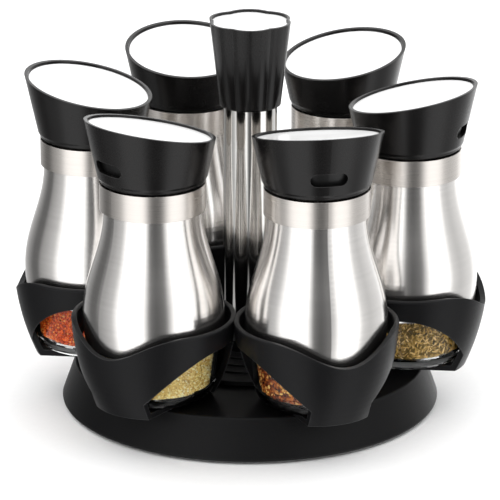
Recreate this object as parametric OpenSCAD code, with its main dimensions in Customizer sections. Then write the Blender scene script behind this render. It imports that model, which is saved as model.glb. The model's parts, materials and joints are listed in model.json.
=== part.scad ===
// Revolving spice rack: steel-sleeved glass jars stand in a ring of open cups, and the ring turns on
// a round base about a central column. Millimetres, +Z up, origin on the table under the column.
// Jar k stands at jar_angle(k), which is counted from -Y towards +X.

/* [Jar] */
// Largest radius of the steel sleeve
belly_r = 30.4; // [25:0.1:38]
// Radius of the sleeve at its neck
neck_r = 21.3; // [17:0.1:24]
// Height of the belly above the jar's bottom
belly_h = 37.6; // [32:0.1:46]
// Height at which the shoulder has become the straight neck
shoulder_h = 83; // [70:0.5:100]
// Height of the sleeve's lower edge
sleeve_h = 24.5; // [18:0.5:30]
// Radius of the curve under the belly
belly_arc = 80; // [60:1:110]
// Slope of the sleeve and the glass below the belly, in degrees
taper = 7; // [4:0.2:12]
// Wall of the steel sleeve
sleeve_t = 0.5; // [0.3:0.1:1]
// Wall of the glass
glass_t = 2.2; // [1.5:0.1:3]
// Thickness of the glass bottom
glass_floor = 4; // [3:0.5:7]
// Rounding around the foot of the glass
glass_round = 7.5; // [4:0.5:9]
// Rounding of the inside of the glass at its bottom
glass_inner_round = 4.5; // [3:0.5:7]
// Turn of each jar in its cup, in degrees from facing outwards
jar_turn = -12.8; // [-180:0.2:180]

/* [Collar] */
// Height of the steel collar
collar_h = 11.6; // [8:0.2:16]
// How far the collar stands out past the neck
collar_step = 1.36; // [0.6:0.02:2.5]
// Thickness of the collar's top lip
collar_lip = 0.8; // [0.5:0.1:1.5]

/* [Cap] */
// Height of the cap on its own axis
cap_h = 23.15; // [18:0.05:32]
// Flare of the cap's side, as radius gained for each millimetre of height
cap_flare = 0.215; // [0.05:0.005:0.3]
// Slant of the cap's top, in degrees
cap_slant = 11.8; // [0:0.2:15]
// Wall of the cap
cap_t = 2; // [1.5:0.1:3]
// Width of the rim around the white disc
cap_rim_t = 1.5; // [1:0.1:2]
// Depth of the white disc under the rim
disc_drop = 1.1; // [0.5:0.1:2]
// Thickness of the white disc
disc_t = 1.3; // [0.8:0.1:2]
// Thickness of the cap's ceiling under the disc
ceiling_t = 1.6; // [1:0.1:3]
// Rounding of the cap's lower edge
cap_round = 2; // [1:0.1:2.5]
// Width of the pouring slot
slot_w = 16; // [10:0.5:20]
// Height of the pouring slot
slot_h = 5.7; // [5:0.1:7]
// Height of the slot's centre above the cap's lower edge
slot_z = 10.1; // [8:0.1:12]
// Wall of the pouring insert
insert_t = 1.4; // [1:0.1:2]
// Depth of the insert's plug in the neck
plug_h = 7; // [4:0.5:10]

/* [Cups] */
// Space between two neighbouring jars at the belly
jar_gap = 9.2; // [6:0.1:14]
// Wall of a cup
cup_t = 2.4; // [2:0.1:3.5]
// Thickness of a cup's floor
cup_floor_t = 2.5; // [2:0.1:4]
// Space between the jar's belly and the rim of the cup
cup_gap = 2.6; // [1.5:0.1:4]
// Space between the flat of the jar's foot and the wall of the cup at its floor
foot_gap = 4.75; // [4.6:0.05:7]
// Height of the cup, floor included
cup_h = 39; // [32:0.5:50]
// Radius of the curve of the cup's side
cup_bulge = 105; // [80:1:200]
// Depth of the dip in the front of the rim
dip_h = 11; // [4:0.5:14]
// Half the width of the dip
dip_w = 31; // [22:0.5:33]
// Radius of the curved edge of a cup's windows
window_r = 26.1; // [22:0.1:27]
// Reach of the windows from the cup's middle towards the column
window_in = 20; // [14:0.5:21]
// Rounding of the windows' inner corners
window_round = 8; // [4:0.5:12]
// Half the width of the floor that is left between a cup's windows
floor_half = 14; // [11:0.5:17]
// Width of the webs that join neighbouring cups
web_w = 6; // [3:0.5:10]
// Height of the webs
web_h = 9; // [5:0.5:10]
// Width of the arm that ties a cup to the hub
arm_w = 16; // [10:0.5:22]
// Thickness of the arm
arm_t = 2.5; // [2:0.1:4]

/* [Column and knob] */
// Radius of the steel column
column_r = 11.85; // [9:0.05:13]
// Wall of the column
column_t = 0.8; // [0.5:0.1:1.5]
// Height of the knob's lower end above the table
knob_z = 136; // [110:1:170]
// Height of the knob
knob_h = 38; // [30:0.5:50]
// Radius of the knob at its lower end
knob_low_r = 13.9; // [13.6:0.1:17]
// Radius of the knob at its top
knob_top_r = 18.5; // [16:0.1:24]
// Distance of the knob's six lobes from its axis, at the top
lobe_offset = 7; // [3:0.1:9]
// Turn of the knob, in degrees
knob_turn = 8.5; // [-30:0.5:30]
// Width of the knob's rim around its white disc
knob_rim_t = 1.2; // [0.8:0.1:2]
// Depth to which the column goes into the knob
knob_socket = 6; // [4:0.5:12]
// Radius of the tie rod
rod_r = 3; // [2:0.1:3.5]

/* [Base] */
// How far the base's top edge lies outside the circle of jars
base_margin = 8; // [2:0.5:20]
// How much wider the base is at its foot than at its top
base_flare = 5.7; // [2:0.1:10]
// Height of the base's top above the table
base_h = 19.5; // [18:0.5:24]
// Wall of the base
base_t = 2.5; // [2:0.1:4]
// Height of the rubber feet
foot_h = 1.8; // [1.6:0.1:4]
// Radius of the rubber feet
foot_r = 6; // [4:0.5:9]
// Pitch radius of the ball bearing
ball_ring_r = 28; // [24:0.5:34]
// Radius of the balls
ball_r = 2.5; // [2:0.1:2.6]

/* [Hidden] */
$fn = 96;
jars = 6;
part_names = ["cup", "glass", "sleeve", "collar", "insert", "cap", "cap_disc"];

// Clearances
steel_fit = 0.15;    // steel sleeve or collar around the glass
run_fit = 0.05;      // the rod in its bores
snap_fit = 0.3;      // the cap over its insert
plug_fit = 0.15;     // the plug in the glass neck
seam = 0.2;          // the dark line under the collar and under the cap
rack_gap = 1;        // the turning rack over the base
screw_gap = 0.3;     // a screw in the plate or the arm that it holds
disc_fit = 0.1;      // a white disc inside its rim

// Levels
neck_h = 1.4;        // straight neck under the collar
rack_z = base_h + rack_gap;
jar_z = rack_z + cup_floor_t;
collar_z = jar_z + shoulder_h + neck_h;
cap_z = collar_z + collar_h + seam;
rim_z = rack_z + cup_h;

// Circle of jars
ring_r = 2 * belly_r + jar_gap;
function jar_angle(k) = -30 + 360 / jars * k;

// Glass and collar
glass_skin = sleeve_t + steel_fit;
glass_neck_r = neck_r - glass_skin;
collar_r = neck_r + collar_step;
lip_z = collar_z + collar_h - collar_lip;
foot_flat_r = glass_r(glass_round) - glass_round;

// Cap and insert
cap_low_r = collar_r + 0.24;
top_z = cap_z + cap_h;
plate_drop = disc_drop + disc_t;
ceiling_z = top_z - (plate_drop + ceiling_t) / cos(cap_slant);
ceiling_low_z = ceiling_z - cap_cone(ceiling_z - 5, cap_t) * tan(cap_slant);
insert_top = ceiling_low_z - snap_fit;
bead_h = 3;
bead_z = cap_z + bead_h;
bead_r = 0.5;

// Cups
cup_top_r = belly_r + cup_gap + cup_t;
cup_low_r = foot_flat_r + foot_gap + cup_t;
half_pitch = ring_r * sin(180 / jars);
window_rise = 1;     // centre of the windows' curve above the jar's bottom
web_angles = [-120, 120];
web_drop = 0.5;      // top of the webs under the rim
cup_screw_r = 1.35;
cup_screw_head_r = 2.95;
cup_screw_head_h = 1.6;

// Hub
hub_r = 42;
hub_t = 2;
hub_top = rack_z + hub_t;
hub_steps = [[33, 1], [27, 2], [21, 3]];
arm_in = 34.5;
screw_at = 38.3;
tube_z = hub_top + 3;
socket_wall = 2.5;
socket_h = 5;

// Bearing
race_half = 5;
race_t = 3.2;
groove_r = ball_r + 0.1;
channel_gap = 0.5;
channel_z = 9;
ball_z = channel_z + race_t + 1;
upper_race_z = ball_z + 1;
ball_count = 12;
channel_in = ball_ring_r - race_half - channel_gap;
channel_out = ball_ring_r + race_half + channel_gap;

// Base
base_top_r = ring_r + base_margin;
base_low_r = base_top_r + base_flare;
skirt_z = 1;
plate_t = 1.6;
plate_top = foot_h + plate_t;
boss_r = 8;
boss_z = 8;
feet_ring = base_low_r - 14;
plate_screw_ring = base_low_r - 26;
plate_screw_r = 1.3;
plate_screw_h = 8;
plate_head_r = 2.8;
plate_head_h = 0.9;
screw_post_r = 4;

// Nuts and washer
nut_r = 5.8;
nut_t = 2.6;
rod_above = 20;      // rod inside the knob
washer_r = 7;
washer_t = 1;
washer_gap = 0.1;
washer_z = boss_z - washer_gap - washer_t;

// Colours
black = [0.07, 0.07, 0.08];
steel = [0.72, 0.72, 0.73];
white = [0.95, 0.95, 0.95];
clear = [0.8, 0.87, 0.87, 0.5];
rubber = [0.15, 0.15, 0.15];

// --- Curves ---

// Outer radius of the jar at a height above its bottom: a straight taper, an arc, then an S-curve.
function jar_r(h) =
    h >= shoulder_h ? neck_r :
    h >= belly_h ? neck_r + (belly_r - neck_r)
        * (1 + cos(180 * (h - belly_h) / (shoulder_h - belly_h))) / 2 :
    belly_h - h < belly_arc * sin(taper) ? belly_r - belly_arc
        + sqrt(belly_arc * belly_arc - (belly_h - h) * (belly_h - h)) :
    belly_r - belly_arc * (1 - cos(taper))
        - (belly_h - h - belly_arc * sin(taper)) * tan(taper);

function glass_r(h) = jar_r(h) - glass_skin;

// Heights from a to b in n even steps
function steps(a, b, n) = [for (i = [0:n]) a + (b - a) * i / n];

// The heights at which the jar's outline has its points, from low to high
function outline_heights(low, high) = [
    for (h = concat(steps(low, belly_h - belly_arc * sin(taper), 1),
                    steps(belly_h - belly_arc * sin(taper) + 1.6, belly_h, 5),
                    steps(belly_h + 2.2, shoulder_h, 20), [high]))
        if (h >= low && h <= high) h];

// Outer radius of a cup at a height above the table: an arc between the floor and the rim.
cup_chord = [cup_top_r - cup_low_r, cup_h];
cup_half = norm(cup_chord) / 2;
cup_centre = [(cup_top_r + cup_low_r) / 2, rack_z + cup_h / 2]
    + sqrt(cup_bulge * cup_bulge - cup_half * cup_half) / (2 * cup_half)
    * [-cup_chord[1], cup_chord[0]];
function cup_r(z) = cup_centre[0]
    + sqrt(cup_bulge * cup_bulge - (z - cup_centre[1]) * (z - cup_centre[1]));

// Radius of the cap's cone at a height above the table, set in from its surface
function cap_cone(z, inset) = cap_low_r + (z - cap_z) * cap_flare - inset;

// Points along a quarter circle from angle a to angle a + 90, in n steps
function quarter(centre, r, a, n = 4) = [
    for (b = steps(a, a + 90, n)) centre + r * [cos(b), sin(b)]];

// --- Helpers ---

module ring(inner, outer, z0, z1) {
    translate([0, 0, z0])
        difference() {
            cylinder(r = outer, h = z1 - z0);
            translate([0, 0, -1])
                cylinder(r = inner, h = z1 - z0 + 2);
        }
}

// Repeats its children evenly around the column
module around(count, r, start = 0) {
    for (i = [0:count - 1])
        rotate([0, 0, start + 360 / count * i])
            translate([r, 0, 0])
                children();
}

module at_cup(k) {
    rotate([0, 0, jar_angle(k) - 90])
        translate([ring_r, 0, 0])
            children();
}

module at_jar(k) {
    at_cup(k)
        rotate([0, 0, jar_turn])
            children();
}

// Everything below, or above, a plane parallel to the slanted top that meets the axis at z
module below_slant(z) {
    translate([0, 0, z])
        rotate([0, -cap_slant, 0])
            translate([-60, -60, -80])
                cube([120, 120, 80]);
}

module above_slant(z) {
    translate([0, 0, z])
        rotate([0, -cap_slant, 0])
            translate([-60, -60, 0])
                cube([120, 120, 80]);
}

// A cone set in from the cap's surface, between two heights
module cap_core(z0, z1, inset) {
    translate([0, 0, z0])
        cylinder(r1 = cap_cone(z0, inset), r2 = cap_cone(z1, inset), h = z1 - z0);
}

// The pill-shaped slot as a solid that points along +X
module slot_cutter() {
    half = (slot_w - slot_h) / 2;
    start = cap_low_r / 2;
    translate([start, 0, cap_z + slot_z])
        rotate([90, 0, 90])
            linear_extrude(2 * cap_low_r)
                union() {
                    square([2 * half, slot_h], center = true);
                    translate([-half, 0]) circle(d = slot_h);
                    translate([half, 0]) circle(d = slot_h);
                }
}

// Six-lobed outline whose largest radius is r
module flower(r, offset_r) {
    for (i = [0:5])
        rotate(60 * i)
            translate([offset_r, 0])
                circle(r = r - offset_r, $fn = 64);
}

// --- Base, which stands still ---

module base_profile() {
    difference() {
        polygon(concat(
            [[rod_r + run_fit, boss_z], [boss_r, boss_z], [boss_r, base_h - base_t],
             [channel_in - base_t, base_h - base_t], [channel_in - base_t, channel_z - base_t],
             [channel_out + base_t, channel_z - base_t], [channel_out + base_t, base_h - base_t],
             [base_top_r - base_t, base_h - base_t], [base_low_r - base_t, skirt_z]],
            quarter([base_low_r - 1.5, skirt_z + 1.5], 1.5, -90),
            quarter([base_top_r - 1, base_h - 1], 1, 0),
            [[rod_r + run_fit, base_h]]));
        translate([channel_in, channel_z])
            square([channel_out - channel_in, base_h]);
    }
}

module base_shell() {
    rib_in = channel_out + base_t - 0.5;
    color(black)
        union() {
            rotate_extrude()
                base_profile();
            around(6, rib_in, 30)
                translate([0, -1, plate_top + 1])
                    cube([base_top_r - base_t + 1 - rib_in, 2, base_h - base_t - plate_top - 0.5]);
            around(6, plate_screw_ring)
                difference() {
                    translate([0, 0, plate_top])
                        cylinder(r = screw_post_r, h = base_h - plate_top - 1);
                    translate([0, 0, plate_top - 1])
                        cylinder(r = plate_screw_r + run_fit, h = plate_screw_h + 1);
                }
        }
}

module base_plate() {
    edge_r = base_low_r - base_t - 0.3
        - base_flare * (plate_top - skirt_z) / (base_h - base_t - skirt_z);
    color(black)
        difference() {
            translate([0, 0, foot_h])
                cylinder(r = edge_r, h = plate_t);
            around(6, plate_screw_ring)
                translate([0, 0, foot_h - 1])
                    cylinder(r = plate_screw_r + screw_gap, h = plate_t + 2);
        }
}

module base_screws() {
    color(steel)
        around(6, plate_screw_ring)
            union() {
                translate([0, 0, foot_h - plate_head_h])
                    cylinder(r = plate_head_r, h = plate_head_h);
                translate([0, 0, foot_h - plate_head_h / 2])
                    cylinder(r = plate_screw_r, h = plate_screw_h);
            }
}

module rubber_feet() {
    color(rubber)
        around(6, feet_ring)
            cylinder(r = foot_r, h = foot_h);
}

module race(z0) {
    difference() {
        ring(ball_ring_r - race_half, ball_ring_r + race_half, z0, z0 + race_t);
        rotate_extrude()
            translate([ball_ring_r, ball_z])
                circle(r = groove_r);
    }
}

module lower_race() {
    color(steel) race(channel_z);
}

// --- Cage and balls, which turn at half the rack's speed ---

module ball_cage() {
    cage_half = 3.4;
    color(white)
        difference() {
            ring(ball_ring_r - cage_half, ball_ring_r + cage_half, ball_z - 0.3, ball_z + 0.3);
            around(ball_count, ball_ring_r)
                translate([0, 0, ball_z - 2])
                    cylinder(r = ball_r + 0.1, h = 4);
        }
}

module bearing_balls() {
    color(steel)
        around(ball_count, ball_ring_r)
            translate([0, 0, ball_z])
                sphere(r = ball_r);
}

// --- Rack, which turns on the base ---

module upper_race() {
    color(steel) race(upper_race_z);
}

module rack_hub() {
    collar_half = race_half - 0.5;
    color(black)
        difference() {
            union() {
                ring(rod_r + run_fit, hub_r, rack_z, hub_top);
                for (step = hub_steps)
                    ring(rod_r + run_fit, step[0], rack_z, hub_top + step[1]);
                ring(ball_ring_r - collar_half, ball_ring_r + collar_half,
                     upper_race_z + race_t, rack_z + 1);
                ring(column_r + plug_fit, column_r + plug_fit + socket_wall, rack_z, tube_z + socket_h);
            }
            translate([0, 0, rack_z - 1])
                cylinder(r = nut_r + 0.2, h = nut_t + 1, $fn = 6);
            around(jars, screw_at, jar_angle(0) - 90)
                translate([0, 0, rack_z - 0.01])
                    union() {
                        cylinder(r1 = cup_screw_head_r + plug_fit, r2 = cup_screw_r + plug_fit,
                                 h = cup_screw_head_h);
                        cylinder(r = cup_screw_r + plug_fit, h = hub_t + 1);
                    }
        }
}

module cup_screws() {
    color(steel)
        around(jars, screw_at, jar_angle(0) - 90)
            translate([0, 0, rack_z])
                union() {
                    cylinder(r1 = cup_screw_head_r, r2 = cup_screw_r, h = cup_screw_head_h);
                    cylinder(r = cup_screw_r, h = hub_t + arm_t - 0.7);
                }
}

// A whole cup before its windows and its dip are cut: wall and floor
module cup_bowl() {
    lip = 1;
    rise = steps(rack_z, rim_z - lip, 12);
    fall = steps(rim_z - lip, jar_z, 12);
    rotate_extrude()
        polygon(concat(
            [[0, rack_z]],
            [for (z = rise) [cup_r(z), z]],
            [[cup_top_r - 0.3 * lip, rim_z - 0.3 * lip], [cup_top_r - lip, rim_z],
             [cup_top_r - cup_t + lip, rim_z], [cup_top_r - cup_t + 0.3 * lip, rim_z - 0.3 * lip]],
            [for (z = fall) [cup_r(z) - cup_t, z]],
            [[0, jar_z]]));
}

// The dip in the outward half of the rim: a wave that rises into the level rim on both sides
module dip_cutter() {
    rotate([90, 0, 90])
        linear_extrude(cup_top_r + 5)
            polygon(concat(
                [for (y = steps(-dip_w, dip_w, 28))
                    [y, rim_z + 0.02 - dip_h * (1 + cos(180 * y / dip_w)) / 2]],
                [[dip_w, rim_z + 10], [-dip_w, rim_z + 10]]));
}

// Both side windows of a cup, cut straight across it and down through its floor on either side of
// the middle strip. A window is round outwards and ends towards the column in a rounded corner.
module window_cutter() {
    centre_z = jar_z + window_rise;
    window_top = centre_z + window_r;
    corner = window_in - window_round;
    deep = cup_top_r + 5 - floor_half;
    for (side = [-1, 1])
        translate([0, side * (floor_half + deep / 2), 0])
            rotate([90, 0, 0])
                translate([0, 0, -deep / 2])
                    linear_extrude(deep)
                        polygon(concat(
                            [[window_r, rack_z - 1]],
                            quarter([0, centre_z], window_r, 0, 16),
                            quarter([-corner, window_top - window_round], window_round, 90, 6),
                            [[-window_in, rack_z - 1]]));
}

// The arm that ties a cup to the hub, and the webs that reach its neighbours
module cup_ties() {
    arm_end = cup_r(hub_top + arm_t) - cup_t;
    arm_reach = ring_r - arm_in;
    web_start = cup_top_r - cup_t + 0.2;
    difference() {
        translate([-arm_reach, -arm_w / 2, hub_top])
            cube([arm_reach - arm_end, arm_w, arm_t]);
        translate([-(ring_r - screw_at), 0, hub_top - 1])
            cylinder(r = cup_screw_r + run_fit, h = arm_t + 0.4);
    }
    for (a = web_angles)
        rotate([0, 0, a])
            translate([web_start, -web_w / 2, rim_z - web_h - web_drop])
                cube([half_pitch - web_start, web_w, web_h]);
}

module cup(k) {
    color(black)
        at_cup(k)
            union() {
                difference() {
                    cup_bowl();
                    window_cutter();
                    dip_cutter();
                    for (a = web_angles)
                        rotate([0, 0, a])
                            translate([half_pitch, -cup_top_r, rack_z - 1])
                                cube([cup_top_r, 2 * cup_top_r, cup_h + 10]);
                }
                cup_ties();
            }
}

module column_tube() {
    color(steel)
        ring(column_r - column_t, column_r, tube_z, knob_z + knob_socket - seam);
}

module tie_rod() {
    color(steel)
        translate([0, 0, plate_top + 0.5])
            cylinder(r = rod_r, h = knob_z + rod_above - plate_top - 0.5);
}

module nut(z) {
    translate([0, 0, z])
        difference() {
            cylinder(r = nut_r, h = nut_t, $fn = 6);
            translate([0, 0, -1])
                cylinder(r = rod_r + run_fit, h = nut_t + 2);
        }
}

module rod_nuts() {
    color(steel)
        union() {
            nut(washer_z - nut_t);
            nut(rack_z);
        }
}

module thrust_washer() {
    color(steel)
        ring(rod_r + run_fit, washer_r, washer_z, washer_z + washer_t);
}

module knob() {
    growth = knob_top_r / knob_low_r;
    color(black)
        rotate([0, 0, knob_turn - 90])
            difference() {
                intersection() {
                    translate([0, 0, knob_z])
                        linear_extrude(knob_h, scale = growth)
                            flower(knob_low_r, lobe_offset / growth);
                    rotate_extrude()
                        polygon(concat(
                            [[0, knob_z]],
                            quarter([knob_low_r - 1.5, knob_z + 1.5], 1.5, -90),
                            [[knob_top_r + 1, knob_z + knob_h], [0, knob_z + knob_h]]));
                }
                translate([0, 0, knob_z + knob_h - disc_drop - disc_t])
                    linear_extrude(disc_drop + disc_t + 1)
                        flower(knob_top_r - knob_rim_t, lobe_offset);
                translate([0, 0, knob_z - 1])
                    cylinder(r = column_r + plug_fit, h = knob_socket + 1);
                cylinder(r = rod_r + run_fit, h = knob_z + rod_above + 1);
            }
}

module knob_disc() {
    color(white)
        rotate([0, 0, knob_turn - 90])
            translate([0, 0, knob_z + knob_h - disc_drop - disc_t])
                linear_extrude(disc_t)
                    flower(knob_top_r - knob_rim_t - disc_fit, lobe_offset);
}

// --- One jar ---

module glass(k) {
    top = lip_z - jar_z;
    outer = outline_heights(glass_round + 1, top);
    inner_z = glass_floor + glass_inner_round;
    inner = outline_heights(inner_z + 1, top + 1);
    color(clear)
        at_jar(k)
            translate([0, 0, jar_z])
                difference() {
                    rotate_extrude()
                        polygon(concat(
                            [[0, 0]],
                            quarter([foot_flat_r, glass_round], glass_round, -90, 8),
                            [for (h = outer) [glass_r(h), h]],
                            [[0, top]]));
                    rotate_extrude()
                        polygon(concat(
                            [[0, glass_floor]],
                            quarter([glass_r(inner_z) - glass_t - glass_inner_round, inner_z],
                                    glass_inner_round, -90, 6),
                            [for (h = inner) [glass_r(h) - glass_t, h]],
                            [[0, top + 1]]));
                }
}

module sleeve(k) {
    heights = outline_heights(sleeve_h, collar_z - seam - jar_z);
    last = len(heights) - 1;
    color(steel)
        at_jar(k)
            translate([0, 0, jar_z])
                rotate_extrude()
                    polygon(concat(
                        [for (h = heights) [jar_r(h), h]],
                        [for (i = [last:-1:0]) [jar_r(heights[i]) - sleeve_t, heights[i]]]));
}

module collar(k) {
    color(steel)
        at_jar(k)
            union() {
                ring(glass_neck_r + steel_fit, collar_r, collar_z, lip_z + collar_lip);
                ring(glass_neck_r - glass_t, glass_neck_r + 1, lip_z, lip_z + collar_lip);
            }
}

// The insert plugs into the neck and fills the cap. Its window lies a quarter turn from the
// cap's slot, so turning the cap opens the way.
module insert(k) {
    plug_r = glass_neck_r - glass_t - plug_fit;
    low = lip_z + collar_lip;
    gap = cap_t + snap_fit;
    color(black)
        at_jar(k)
            difference() {
                rotate_extrude()
                    polygon([
                        [0, low - plug_h], [plug_r, low - plug_h], [plug_r, low],
                        [cap_cone(low, gap), low],
                        [cap_cone(bead_z - bead_r, gap), bead_z - bead_r],
                        [cap_cone(bead_z, gap - bead_r), bead_z],
                        [cap_cone(bead_z + bead_r, gap), bead_z + bead_r],
                        [cap_cone(insert_top, gap), insert_top], [0, insert_top]]);
                translate([0, 0, low - plug_h - 1])
                    cylinder(r = plug_r - insert_t, h = plug_h + insert_t + 1.01);
                cap_core(low + insert_t, insert_top - insert_t, gap + insert_t);
                rotate([0, 0, 90])
                    slot_cutter();
            }
}

// The cap's hollow, with the groove that snaps over the insert's bead
module cap_cavity() {
    groove = 2 * bead_r;
    polygon([
        [0, cap_z - 1], [cap_cone(cap_z - 1, cap_t), cap_z - 1],
        [cap_cone(bead_z - groove, cap_t), bead_z - groove],
        [cap_cone(bead_z, cap_t - bead_r), bead_z],
        [cap_cone(bead_z + groove, cap_t), bead_z + groove],
        [cap_cone(top_z + 10, cap_t), top_z + 10], [0, top_z + 10]]);
}

module cap(k) {
    color(black)
        at_jar(k)
            difference() {
                intersection() {
                    rotate_extrude()
                        polygon(concat(
                            [[0, cap_z]],
                            quarter([cap_low_r - cap_round, cap_z + cap_round], cap_round, -90),
                            [[cap_cone(cap_z + cap_round + 1, 0), cap_z + cap_round + 1],
                             [cap_cone(top_z + 10, 0), top_z + 10],
                             [0, top_z + 10]]));
                    below_slant(top_z);
                }
                intersection() {
                    rotate_extrude()
                        cap_cavity();
                    below_slant(ceiling_z);
                }
                intersection() {
                    cap_core(cap_z + cap_h / 2, top_z + 12, cap_rim_t);
                    above_slant(top_z - plate_drop / cos(cap_slant));
                }
                slot_cutter();
            }
}

module cap_disc(k) {
    color(white)
        at_jar(k)
            intersection() {
                cap_core(cap_z + cap_h / 2, top_z + 12, cap_rim_t + disc_fit);
                above_slant(top_z - plate_drop / cos(cap_slant));
                below_slant(top_z - disc_drop / cos(cap_slant));
            }
}

base_shell();
base_plate();
base_screws();
rubber_feet();
lower_race();
ball_cage();
bearing_balls();
upper_race();
rack_hub();
cup_screws();
rod_nuts();
thrust_washer();
column_tube();
tie_rod();
knob();
knob_disc();
for (k = [1:jars]) {
    cup(k - 1);
    glass(k - 1);
    sleeve(k - 1);
    collar(k - 1);
    insert(k - 1);
    cap(k - 1);
    cap_disc(k - 1);
}
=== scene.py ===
"""Spice carousel: camera, light, materials and the spices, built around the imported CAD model.

Metres, in the row frame. Numbers in mm in the comments are real sizes of the object.
"""
import json
import math

import bmesh
import bpy
import numpy as np
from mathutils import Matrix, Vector


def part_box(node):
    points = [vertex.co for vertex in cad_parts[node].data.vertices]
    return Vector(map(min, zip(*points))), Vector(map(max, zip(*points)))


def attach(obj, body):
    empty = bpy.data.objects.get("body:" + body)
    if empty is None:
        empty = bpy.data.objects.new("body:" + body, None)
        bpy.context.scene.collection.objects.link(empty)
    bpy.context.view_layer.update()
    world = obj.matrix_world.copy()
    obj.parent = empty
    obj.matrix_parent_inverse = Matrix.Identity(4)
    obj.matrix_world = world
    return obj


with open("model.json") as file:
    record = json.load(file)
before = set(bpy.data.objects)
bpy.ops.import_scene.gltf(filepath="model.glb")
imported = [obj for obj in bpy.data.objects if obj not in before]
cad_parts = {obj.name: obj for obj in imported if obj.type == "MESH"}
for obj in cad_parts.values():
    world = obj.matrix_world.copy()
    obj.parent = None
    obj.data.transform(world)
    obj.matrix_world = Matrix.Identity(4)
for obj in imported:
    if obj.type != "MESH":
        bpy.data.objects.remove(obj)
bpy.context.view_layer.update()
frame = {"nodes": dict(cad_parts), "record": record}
nodes = frame["nodes"]
JARS = range(1, 7)

# --- Camera ---------------------------------------------------------------------------------

CAMERA_AZIMUTH = math.radians(6.13)
CAMERA_DISTANCE = 1.576
CAMERA_HEIGHT = 0.6083
CAMERA_DOWN = math.radians(18.9)

to_camera = Vector((math.sin(CAMERA_AZIMUTH), -math.cos(CAMERA_AZIMUTH), 0))
camera_right = Vector((math.cos(CAMERA_AZIMUTH), math.sin(CAMERA_AZIMUTH), 0))
camera = bpy.data.objects.new("camera", bpy.data.cameras.new("camera"))
bpy.context.scene.collection.objects.link(camera)
camera.location = CAMERA_DISTANCE * to_camera + Vector((0, 0, CAMERA_HEIGHT))
camera.rotation_euler = (math.pi / 2 - CAMERA_DOWN, 0, CAMERA_AZIMUTH)
camera.data.lens = 271.3
camera.data.sensor_width = 36
camera.data.clip_start = 0.05
bpy.context.scene.camera = camera
bpy.context.scene.view_settings.view_transform = "Standard"


# --- Node helpers ---------------------------------------------------------------------------

class Tree:
    """Short names for making and joining shader nodes."""

    def __init__(self, tree):
        self.tree = tree
        tree.nodes.clear()

    def add(self, kind, settings=None, **inputs):
        node = self.tree.nodes.new(kind)
        for name, value in (settings or {}).items():
            setattr(node, name, value)
        for name, value in inputs.items():
            self.put(node.inputs[name.replace("_", " ")], value)
        return node

    def put(self, socket, value):
        if isinstance(value, bpy.types.NodeSocket):
            self.tree.links.new(value, socket)
        elif isinstance(value, (tuple, list)) and len(value) == 3 and socket.type == "RGBA":
            socket.default_value = (*value, 1)
        else:
            socket.default_value = value

    def math(self, operation, a, b=0.0):
        node = self.add("ShaderNodeMath", {"operation": operation})
        self.put(node.inputs[0], a)
        self.put(node.inputs[1], b)
        return node.outputs[0]

    def dot(self, a, b):
        node = self.add("ShaderNodeVectorMath", {"operation": "DOT_PRODUCT"})
        self.put(node.inputs[0], a)
        self.put(node.inputs[1], b)
        return node.outputs["Value"]

    def cross(self, a, b):
        node = self.add("ShaderNodeVectorMath", {"operation": "CROSS_PRODUCT"})
        self.put(node.inputs[0], a)
        self.put(node.inputs[1], b)
        return node.outputs["Vector"]

    def ramp(self, factor, stops, interpolation="LINEAR"):
        """stops is [(place from 0 to 1, grey level or colour)]"""
        node = self.add("ShaderNodeValToRGB", Fac=factor)
        node.color_ramp.interpolation = interpolation
        elements = node.color_ramp.elements
        while len(elements) < len(stops):
            elements.new(1)
        for element, (place, value) in zip(elements, stops):
            element.position = place
            element.color = (*value, 1) if isinstance(value, tuple) else (value, value, value, 1)
        return node.outputs["Color"]

    def noise(self, coordinates, scale, detail=2.0, roughness=0.5):
        return self.add("ShaderNodeTexNoise", Vector=coordinates, Scale=scale, Detail=detail,
                        Roughness=roughness).outputs["Fac"]

    def stretched(self, coordinates, scale):
        return self.add("ShaderNodeMapping", Vector=coordinates, Scale=scale).outputs["Vector"]

    def between(self, factor, low, high):
        """Maps 0.25 to 0.75, where most of a noise lies, onto low to high"""
        node = self.add("ShaderNodeMapRange", Value=factor)
        for name, value in (("From Min", 0.25), ("From Max", 0.75), ("To Min", low), ("To Max", high)):
            node.inputs[name].default_value = value
        return node.outputs["Result"]

    def mix(self, factor, a, b):
        node = self.add("ShaderNodeMix", {"data_type": "RGBA"})
        self.put(node.inputs["Factor"], factor)
        self.put(node.inputs[6], (*a, 1) if isinstance(a, tuple) else a)
        self.put(node.inputs[7], (*b, 1) if isinstance(b, tuple) else b)
        return node.outputs[2]

    def bump(self, height, distance, normal=None, strength=1.0):
        node = self.add("ShaderNodeBump", Height=height, Distance=distance, Strength=strength)
        if normal is not None:
            self.put(node.inputs["Normal"], normal)
        return node.outputs["Normal"]

    def bevel(self, radius):
        return self.add("ShaderNodeBevel", {"samples": 6}, Radius=radius).outputs["Normal"]


def new_material(name):
    """A material with one Principled shader: (material, its tree, the shader, object coordinates)"""
    material = bpy.data.materials.new(name)
    material.use_nodes = True
    tree = Tree(material.node_tree)
    shader = tree.add("ShaderNodeBsdfPrincipled")
    output = tree.add("ShaderNodeOutputMaterial")
    tree.put(output.inputs["Surface"], shader.outputs["BSDF"])
    coordinates = tree.add("ShaderNodeTexCoord").outputs["Object"]
    return material, tree, shader, coordinates


def put_on(shader, tree, **inputs):
    for name, value in inputs.items():
        tree.put(shader.inputs[name.replace("_", " ")], value)


# --- Materials ------------------------------------------------------------------------------

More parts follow.
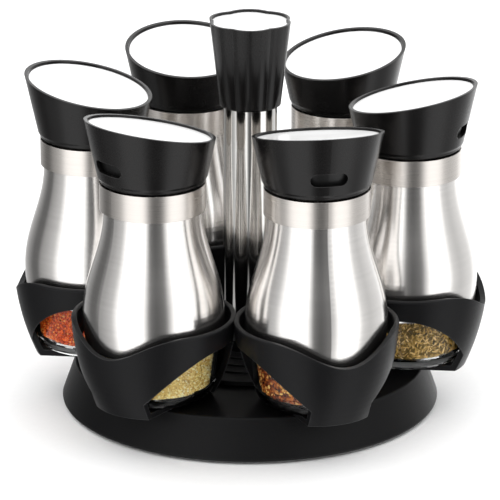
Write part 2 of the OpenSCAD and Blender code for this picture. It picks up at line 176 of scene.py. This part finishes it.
def plastic(name, colour, rough, grain, grain_depth, edge, specular=0.5):
    """Moulded plastic: fine grain, faint flow marks, handled patches and slightly paler edges, partly rubbed
    wear and partly a painted highlight where light catches them
    """
    material, t, shader, at = new_material(name)
    fine = t.noise(at, 1 / grain, 3, 0.6)
    patches = t.noise(at, 28, 3)
    rounded = t.bevel(edge)
    sharp = t.add("ShaderNodeNewGeometry").outputs["Normal"]
    # Paler edges: partly rubbed wear, partly a painted highlight standing in for light catching the rims
    worn_and_glint = t.math("SUBTRACT", 1, t.dot(rounded, sharp))
    worn_and_glint = t.math("MINIMUM", t.math("MULTIPLY", worn_and_glint, 3), 0.8)
    pale = tuple(min(1, 2 * c + 0.004) for c in colour)
    rubbed_and_glint_colour = tuple(min(1, 3 * c + 0.05) for c in colour)
    base = t.mix(t.between(patches, 0, 0.16), colour, pale)
    base = t.mix(t.between(fine, 0, 0.3), base, pale)
    base = t.mix(worn_and_glint, base, rubbed_and_glint_colour)
    roughness = t.math("ADD", t.between(patches, rough - 0.05, rough + 0.05), t.between(fine, -0.03, 0.03))
    put_on(shader, t, Base_Color=base, Roughness=roughness, Normal=t.bump(fine, grain_depth, rounded))
    shader.inputs["Specular IOR Level"].default_value = specular
    return material


def steel(name, colour, rough, anisotropy, line, edge=0.0002):
    """Steel brushed around its upright axis: fine level lines that draw each highlight out upwards"""
    material, t, shader, at = new_material(name)
    geometry_normal = t.add("ShaderNodeNewGeometry").outputs["Normal"]
    around = t.cross((0, 0, 1), geometry_normal)
    upward = t.cross(geometry_normal, around)
    lines = t.noise(t.stretched(at, (30, 30, 1 / line)), 1, 2, 0.7)
    bands = t.noise(t.stretched(at, (12, 12, 900)), 1, 2)
    prints = t.noise(at, 45, 4, 0.6)
    shade = t.mix(t.between(bands, 0, 1), tuple(0.97 * c for c in colour),
                  tuple(min(1, 1.03 * c) for c in colour))
    roughness = t.math("ADD", t.between(lines, rough - 0.02, rough + 0.02), t.between(prints, -0.01, 0.02))
    put_on(shader, t, Base_Color=shade, Roughness=roughness, Normal=t.bump(lines, 0.0000012, t.bevel(edge)),
           Tangent=upward)
    shader.inputs["Metallic"].default_value = 1
    shader.inputs["Anisotropic"].default_value = anisotropy
    return material


def plain_metal(name, colour, rough, cast):
    """Small steel parts: turned or plated, with a mottled film"""
    material, t, shader, at = new_material(name)
    film = t.noise(at, 260, 4, 0.6)
    base = t.mix(t.between(film, 0, 1), colour, cast)
    put_on(shader, t, Base_Color=base, Roughness=t.between(film, rough - 0.06, rough + 0.08),
           Normal=t.bump(t.noise(at, 4000), 0.00001, t.bevel(0.0002)))
    shader.inputs["Metallic"].default_value = 1
    return material


def clear_glass():
    material, t, shader, at = new_material("jar_glass")
    waves = t.noise(at, 60, 2)
    smears = t.noise(at, 140, 5, 0.65)
    put_on(shader, t, Roughness=t.between(smears, 0.0, 0.025), Normal=t.bump(waves, 0.00006))
    shader.inputs["Base Color"].default_value = (0.975, 0.99, 0.98, 1)
    shader.inputs["IOR"].default_value = 1.22
    shader.inputs["Specular IOR Level"].default_value = 0.08
    shader.inputs["Transmission Weight"].default_value = 1
    return material


def gloss_white():
    material, t, shader, at = new_material("white_plastic")
    patches = t.noise(at, 35, 3)
    base = t.mix(t.between(patches, 0, 1), (0.93, 0.93, 0.925), (0.88, 0.88, 0.885))
    put_on(shader, t, Base_Color=base, Roughness=t.between(patches, 0.16, 0.26),
           Normal=t.bump(t.noise(at, 500, 2), 0.000015, t.bevel(0.0003)))
    return material


def rubber():
    material, t, shader, at = new_material("foot_rubber")
    pores = t.noise(at, 2600, 3)
    put_on(shader, t, Base_Color=t.mix(t.between(pores, 0, 1), (0.022, 0.022, 0.022), (0.05, 0.049, 0.047)),
           Roughness=t.between(pores, 0.7, 0.85), Normal=t.bump(pores, 0.00008, t.bevel(0.0005)))
    return material


STEEL = (0.79, 0.77, 0.75)
looks = {
    "rack_plastic": plastic("rack_plastic", (0.0035, 0.0035, 0.0038), 0.42, 0.0005, 0.00005, 0.0006, 0.1),
    "cup_plastic": plastic("cup_plastic", (0.004, 0.004, 0.0045), 0.36, 0.0005, 0.00006, 0.0006, 0.12),
    "cap_plastic": plastic("cap_plastic", (0.004, 0.0036, 0.0036), 0.25, 0.0005, 0.000012, 0.0005, 0.26),
    "insert_plastic": plastic("insert_plastic", (0.004, 0.004, 0.004), 0.34, 0.0005, 0.00002, 0.0003, 0.3),
    "cage_nylon": plastic("cage_nylon", (0.68, 0.66, 0.6), 0.45, 0.0006, 0.00002, 0.0002),
    "white_plastic": gloss_white(),
    "sleeve_steel": steel("sleeve_steel", STEEL, 0.19, 0.6, 0.00016),
    "collar_steel": steel("collar_steel", (0.66, 0.625, 0.59), 0.28, 0.3, 0.00014),
    "column_steel": steel("column_steel", (0.66, 0.65, 0.63), 0.1, 0.4, 0.0002),
    "jar_glass": clear_glass(),
    "foot_rubber": rubber(),
    "bearing_steel": plain_metal("bearing_steel", (0.6, 0.6, 0.61), 0.2, (0.66, 0.64, 0.6)),
    "zinc_steel": plain_metal("zinc_steel", (0.66, 0.67, 0.7), 0.3, (0.72, 0.7, 0.62)),
}

for part in frame["record"]["subparts"]:
    mesh = nodes[part["node"]].data
    mesh.materials.clear()
    mesh.materials.append(looks[part["material_slot"]])


# --- Spices ---------------------------------------------------------------------------------

SPICES = {
    # jar: (name, palette from dark to pale, grain in mm (long, wide, thick), number, share of shape noise)
    1: ("garlic_granules", [(0.55, 0.34, 0.08), (0.92, 0.7, 0.25), (1.0, 0.86, 0.4), (1.0, 0.96, 0.66)],
        (0.95, 0.85, 0.7), 6500, 0.35),
    2: ("chili_flakes", [(0.04, 0.007, 0.003), (0.24, 0.045, 0.01), (0.55, 0.16, 0.025), (0.95, 0.6, 0.18)],
        (2.2, 1.4, 0.5), 2600, 0.4),
    3: ("herb_leaves", [(0.04, 0.028, 0.005), (0.26, 0.15, 0.028), (0.66, 0.4, 0.1), (1.0, 0.72, 0.32)],
        (3.0, 0.7, 0.35), 5600, 0.4),
    4: ("peppercorns", [(0.012, 0.008, 0.006), (0.035, 0.021, 0.013), (0.08, 0.05, 0.03), (0.16, 0.11, 0.07)],
        (3.6, 3.5, 3.4), 620, 0.12),
    5: ("cumin_seeds", [(0.1, 0.05, 0.014), (0.26, 0.15, 0.045), (0.42, 0.26, 0.1), (0.62, 0.43, 0.2)],
        (4.2, 1.1, 1.0), 1500, 0.12),
    6: ("paprika_granules",
        [(0.36, 0.025, 0.003), (0.8, 0.095, 0.007), (0.98, 0.17, 0.012), (1.0, 0.42, 0.09)],
        (1.3, 1.1, 0.85), 5200, 0.35),
}
FILL_TOP = 0.074     # height of the fill above the jar's bottom
DETAIL_TOP = 0.028   # height up to which the wall shows, so grains lie against it
CLEAR = 0.0001       # space between the glass and the nearest grain
FILL_DEPTH = 0.0008  # depth of the layer of grains in front of the fill
FLOOR_SHARE = 0.16   # share of the grains that lie on the floor
MAX_LEAN = 0.35      # most that a grain leans from its wall, in radians
ROUND_TOP = 0.0047   # top of the rounding inside the glass above its floor
MOUND = 0.004        # height of the fill's mounded top
FILL_SEGMENTS = 96


def palette_look(name, palette, grain, by_attribute):
    """A spice's colour: one tone for each grain, or for the fill behind them one tone for each cell, kept to
    the dark end of the palette as painted shade in the gaps between the grains
    """
    material, t, shader, at = new_material(name)
    if by_attribute:
        tone = t.add("ShaderNodeAttribute", {"attribute_name": "tone"}).outputs["Fac"]
    else:
        cells = t.add("ShaderNodeTexVoronoi", Vector=at, Scale=1 / grain)
        # Painted shade: the fill's cell tones are scaled down to the palette's dark end, standing in for the
        # shadow between grains
        tone = t.math("MULTIPLY", t.dot(cells.outputs["Color"], (0.33, 0.33, 0.33)), 0.35)
    mottle = t.noise(at, 3500, 2)
    colour = t.ramp(t.math("ADD", tone, t.between(mottle, -0.07, 0.07)),
                    [(i / (len(palette) - 1), c) for i, c in enumerate(palette)])
    put_on(shader, t, Base_Color=colour, Roughness=t.between(mottle, 0.6, 0.8),
           Normal=t.bump(mottle, 0.00005))
    shader.inputs["Specular IOR Level"].default_value = 0.1
    return material


def jar_inside(k):
    """The glass's hollow: its axis, the height of its floor, and its radius at each height"""
    glass = nodes[f"glass_{k}"]
    low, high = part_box(f"glass_{k}")
    axis = (low + high) / 2
    start = Vector((axis.x, axis.y, low.z + 0.04))
    floor_z = glass.ray_cast(start, Vector((0, 0, -1)))[1].z
    heights = [*np.linspace(floor_z + 0.0002, floor_z + ROUND_TOP, 9),
               *np.linspace(floor_z + 0.006, low.z + FILL_TOP, 40)]
    radii = []
    for z in heights:
        hit = glass.ray_cast(Vector((axis.x, axis.y, z)), Vector((1, 0, 0)))
        radii.append(hit[1].x - axis.x)
    return axis, floor_z, np.array(heights), np.array(radii)


def grain_shape(rng, size, roughness):
    """One grain: a jittered icosahedron stretched to size, as 12 points"""
    a, b = 0.5257, 0.8507
    points = np.array([(-a, 0, b), (a, 0, b), (-a, 0, -b), (a, 0, -b), (0, b, a), (0, b, -a), (0, -b, a),
                       (0, -b, -a), (b, a, 0), (-b, a, 0), (b, -a, 0), (-b, -a, 0)])
    points = points * (1 + roughness * rng.uniform(-1, 1, (12, 1)))
    return points * np.array(size) / 2


GRAIN_FACES = np.array([
    (0, 4, 1), (0, 9, 4), (9, 5, 4), (4, 5, 8), (4, 8, 1), (8, 10, 1), (8, 3, 10), (5, 3, 8), (5, 2, 3),
    (2, 7, 3), (7, 10, 3), (7, 6, 10), (7, 11, 6), (11, 0, 6), (0, 1, 6), (6, 1, 10), (9, 0, 11),
    (9, 11, 2), (9, 2, 5), (7, 2, 11)])[:, ::-1]


def add_grains(k, rng, inside, size, count, roughness):
    """Grains against the glass wall, up to DETAIL_TOP above the jar's bottom, and on the floor's edge"""
    axis, floor_z, heights, radii = inside
    points, tones = [], []
    for i in range(count):
        scale = rng.uniform(0.65, 1.1)
        shape = grain_shape(rng, [scale * s / 1000 for s in size], roughness)
        spin = rng.uniform(0, 2 * math.pi)
        c, s = math.cos(spin), math.sin(spin)
        lean = rng.uniform(-MAX_LEAN, MAX_LEAN)
        flat = shape @ np.array([[c, s, 0], [-s, c, 0], [0, 0, 1]])
        flat = flat @ np.array([[math.cos(lean), 0, math.sin(lean)], [0, 1, 0],
                                [-math.sin(lean), 0, math.cos(lean)]])
        angle = rng.uniform(0, 2 * math.pi)
        out = np.array([math.cos(angle), math.sin(angle), 0])
        side = np.array([-math.sin(angle), math.cos(angle), 0])
        if rng.uniform() < FLOOR_SHARE:
            place = math.sqrt(rng.uniform(0.2, 1)) * (radii[0] - 0.0012)
            world = flat @ np.array([out, side, (0, 0, 1)])
            world += place * out
            world[:, 2] += floor_z + CLEAR + rng.uniform(0, 0.0004) - world[:, 2].min()
        else:
            z = rng.uniform(floor_z + 0.0006, axis_low[k] + DETAIL_TOP)
            world = flat @ np.array([side, (0, 0, 1), out])
            world[:, 2] += z
            reach = np.interp(world[:, 2], heights, radii) - CLEAR - rng.uniform(0, FILL_DEPTH)
            world += out * (np.interp(z, heights, radii) - 0.004)
            over = (np.hypot(world[:, 0], world[:, 1]) - reach).max()
            world -= out * over
            world[:, 2] += max(0, floor_z + CLEAR - world[:, 2].min())
        points.append(world + np.array([axis.x, axis.y, 0]))
        tones.append(np.full(12, np.clip(rng.normal(0.52, 0.3), 0, 1)))
    return np.concatenate(points), np.concatenate(tones)


def fill_rings(inside, gap):
    """Rings of the fill's surface: floor, wall and a mounded top"""
    axis, floor_z, heights, radii = inside
    rings = [(0.6 * radii[0], floor_z + gap)]
    rings += [(r - gap, max(z, floor_z + gap)) for z, r in zip(heights, radii)]
    top_z, top_r = heights[-1], radii[-1] - gap
    rings += [(top_r * math.cos(a), top_z + MOUND * math.sin(a)) for a in np.linspace(0.2, 1.4, 7)]
    return rings


def build_fill(name, inside, gap):
    axis = inside[0]
    mesh = bmesh.new()
    loops = []
    for radius, z in fill_rings(inside, gap):
        loops.append([mesh.verts.new((axis.x + radius * math.cos(2 * math.pi * i / FILL_SEGMENTS),
                                      axis.y + radius * math.sin(2 * math.pi * i / FILL_SEGMENTS), z))
                      for i in range(FILL_SEGMENTS)])
    for low, high in zip(loops, loops[1:]):
        for i in range(FILL_SEGMENTS):
            j = (i + 1) % FILL_SEGMENTS
            mesh.faces.new((low[i], low[j], high[j], high[i]))
    mesh.faces.new(reversed(loops[0]))
    mesh.faces.new(loops[-1])
    for face in mesh.faces:
        face.smooth = True
    data = bpy.data.meshes.new(name)
    mesh.to_mesh(data)
    mesh.free()
    return data


def new_piece(name, data, body):
    piece = bpy.data.objects.new(name, data)
    bpy.context.scene.collection.objects.link(piece)
    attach(piece, body)
    return piece


axis_low = {k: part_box(f"glass_{k}")[0].z for k in JARS}
for k in JARS:
    name, palette, size, count, roughness = SPICES[k]
    rng = np.random.default_rng(40 + k)
    inside = jar_inside(k)
    fill = build_fill(f"{name}_fill", inside, CLEAR + FILL_DEPTH + 0.4 * size[2] / 1000)
    # The fill's material has the shade between the grains painted into its colour
    fill.materials.append(palette_look(f"{name}_mass_in_painted_shade", palette, size[1] / 1000, False))
    new_piece(f"{name}_fill", fill, f"jar_{k}")
    points, tones = add_grains(k, rng, inside, size, count, roughness)
    faces = (GRAIN_FACES[None] + 12 * np.arange(count)[:, None, None]).reshape(-1, 3)
    grains = bpy.data.meshes.new(f"{name}_grains")
    grains.from_pydata(points.tolist(), [], faces.tolist())
    grains.attributes.new("tone", "FLOAT", "POINT").data.foreach_set("value", tones.astype(np.float32))
    grains.polygons.foreach_set("use_smooth", [size[2] > 0.9] * len(faces))
    grains.materials.append(palette_look(name, palette, size[1] / 1000, True))
    new_piece(f"{name}_grains", grains, f"jar_{k}")


# --- Floor and light ------------------------------------------------------------------------

def build_floor():
    """A large round table top, finely mottled"""
    mesh = bmesh.new()
    rings = [0.0, 0.2, 0.4, 0.8, 1.6, 3.2, 6.0]
    bmesh.ops.create_circle(mesh, cap_ends=True, segments=96, radius=rings[1])
    inner = list(mesh.verts)
    for radius in rings[2:]:
        outer = [mesh.verts.new(radius * v.co.normalized()) for v in inner]
        for i in range(len(inner)):
            j = (i + 1) % len(inner)
            mesh.faces.new((inner[i], inner[j], outer[j], outer[i]))
        inner = outer
    bmesh.ops.recalc_face_normals(mesh, faces=mesh.faces)
    data = bpy.data.meshes.new("floor")
    mesh.to_mesh(data)
    mesh.free()
    floor = bpy.data.objects.new("floor", data)
    bpy.context.scene.collection.objects.link(floor)
    material, t, shader, at = new_material("floor")
    paper = t.noise(at, 300, 3)
    put_on(shader, t, Base_Color=t.mix(t.between(paper, 0, 1), (0.97, 0.97, 0.97), (0.95, 0.95, 0.95)),
           Normal=t.bump(paper, 0.00005))
    shader.inputs["Roughness"].default_value = 0.9
    shader.inputs["Specular IOR Level"].default_value = 0.1
    data.materials.append(material)
    floor.visible_glossy = False


# A ring of tall light panels around the object, with darker gaps between them. Each is
# (degrees to the camera's right as seen from the object, brightness). Overhead light takes over
# between two heights, given as the sine of the elevation.
PANELS = [
    (-180, 1.2), (-166, 0.8), (-152, 0.5), (-136, 0.33), (-120, 0.15), (-105, 0.14), (-98, 0.36),
    (-84, 0.5), (-70, 0.68), (-57, 1.6), (-17, 1.8), (-6, 0.2), (6, 0.11), (22, 0.2), (38, 1.75), (70, 1.6),
    (79, 0.85), (95, 0.68), (128, 0.95), (140, 1.4), (180, 1.5)]
OVERHEAD = 1.9
BRIGHTEST = 2.0
OVERHEAD_FROM, OVERHEAD_FULL = 0.45, 0.7


def build_world():
    world = bpy.data.worlds.new("studio")
    bpy.context.scene.world = world
    world.use_nodes = True
    t = Tree(world.node_tree)
    direction = t.add("ShaderNodeTexCoord").outputs["Generated"]
    sideways = t.dot(direction, tuple(camera_right))
    forward = t.dot(direction, tuple(to_camera))
    azimuth = t.math("ARCTAN2", sideways, forward)
    around = t.math("ADD", t.math("DIVIDE", azimuth, 2 * math.pi), 0.5)
    panels = t.ramp(around, [((a + 180) / 360, level / BRIGHTEST) for a, level in PANELS])
    height = t.add("ShaderNodeSeparateXYZ", Vector=direction).outputs["Z"]
    above = t.add("ShaderNodeMapRange", {"interpolation_type": "SMOOTHSTEP"}, Value=height)
    above.inputs["From Min"].default_value = OVERHEAD_FROM
    above.inputs["From Max"].default_value = OVERHEAD_FULL
    lit = t.mix(above.outputs["Result"], panels, tuple([OVERHEAD / BRIGHTEST] * 3))
    studio = t.add("ShaderNodeBackground", Color=lit, Strength=BRIGHTEST)
    backdrop = t.add("ShaderNodeBackground", Color=(1, 1, 1), Strength=1.0)
    seen = t.add("ShaderNodeLightPath").outputs["Is Camera Ray"]
    choice = t.add("ShaderNodeMixShader")
    t.put(choice.inputs[0], seen)
    t.put(choice.inputs[1], studio.outputs[0])
    t.put(choice.inputs[2], backdrop.outputs[0])
    output = t.add("ShaderNodeOutputWorld")
    t.put(output.inputs["Surface"], choice.outputs[0])


build_floor()
build_world()
